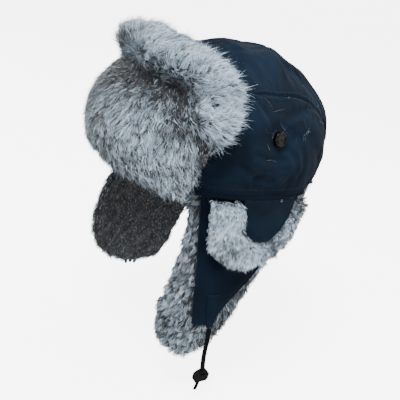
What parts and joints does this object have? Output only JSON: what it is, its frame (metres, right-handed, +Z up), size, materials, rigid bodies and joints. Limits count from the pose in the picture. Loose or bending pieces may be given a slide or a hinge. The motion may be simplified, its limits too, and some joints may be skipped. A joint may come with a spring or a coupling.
{
  "type": "trapper hat",
  "caption": "Winter trapper hat: padded cotton crown, turned-up fur front flap, fur-lined ear flaps with fur-edged cuffs, neck flap and chin straps with a side-release buckle.",
  "frame": {"origin": "middle of the head opening, in the plane of the crown's lower edge", "axes": "-Y is the brow, +X the wearer's left, +Z up through the crown"},
  "size_m": [0.2266, 0.2694, 0.3708],
  "materials": {
    "navy_cotton": "matte",
    "rabbit_fur": "soft",
    "lining_cloth": "satin",
    "wadding": "soft",
    "dark_bronze": "polished",
    "webbing": "matte",
    "buckle_plastic": "gloss"
  },
  "bodies": {
    "crown": {"crown_top_panel": "navy_cotton", "left_crown_side_panel": "navy_cotton", "right_crown_side_panel": "navy_cotton", "crown_wadding": "wadding", "crown_lining_top": "lining_cloth", "left_crown_lining_side": "lining_cloth", "right_crown_lining_side": "lining_cloth", "sweatband": "lining_cloth", "left_button_cap": "dark_bronze", "right_button_cap": "dark_bronze", "left_button_post": "dark_bronze", "right_button_post": "dark_bronze", "left_button_washer": "dark_bronze", "right_button_washer": "dark_bronze"},
    "front_flap": {"front_flap_shell": "navy_cotton", "front_flap_interlining": "wadding", "front_flap_fur": "rabbit_fur"},
    "left_ear_flap": {"left_ear_flap_shell": "navy_cotton", "left_ear_flap_fur": "rabbit_fur", "left_cuff_shell": "navy_cotton", "left_cuff_fur": "rabbit_fur", "left_strap_tab": "navy_cotton"},
    "right_ear_flap": {"right_ear_flap_shell": "navy_cotton", "right_ear_flap_fur": "rabbit_fur", "right_cuff_shell": "navy_cotton", "right_cuff_fur": "rabbit_fur", "right_strap_tab": "navy_cotton"},
    "neck_flap": {"neck_flap_shell": "navy_cotton", "neck_flap_fur": "rabbit_fur"},
    "left_strap": {"left_strap": "webbing", "left_strap_tail": "webbing", "left_buckle_socket": "buckle_plastic"},
    "right_strap": {"right_strap": "webbing", "right_buckle_prongs": "buckle_plastic"}
  },
  "joints": [
    {"name": "front_flap_fold", "type": "hinge", "parent": "crown", "child": "front_flap", "pos_m": [0, -0.119, -0.003], "axis": [1, 0, 0], "range_deg": [0, 125]},
    {"name": "left_ear_flap_fold", "type": "hinge", "parent": "crown", "child": "left_ear_flap", "pos_m": [0.0945, 0, -0.003], "axis": [0, -1, 0], "range_deg": [0, 115]},
    {"name": "right_ear_flap_fold", "type": "hinge", "parent": "crown", "child": "right_ear_flap", "pos_m": [-0.0945, 0, -0.003], "axis": [0, 1, 0], "range_deg": [0, 115]},
    {"name": "neck_flap_fold", "type": "hinge", "parent": "crown", "child": "neck_flap", "pos_m": [0, 0.117, -0.004], "axis": [1, 0, 0], "range_deg": [0, 115]},
    {"name": "left_strap_swing", "type": "hinge", "parent": "left_ear_flap", "child": "left_strap", "pos_m": [0.10235, -0.025, -0.15537], "axis": [0, -1, 0], "range_deg": [0, 90]},
    {"name": "right_strap_swing", "type": "hinge", "parent": "right_ear_flap", "child": "right_strap", "pos_m": [-0.10235, -0.025, -0.15537], "axis": [0, 1, 0], "range_deg": [0, 90]}
  ]
}
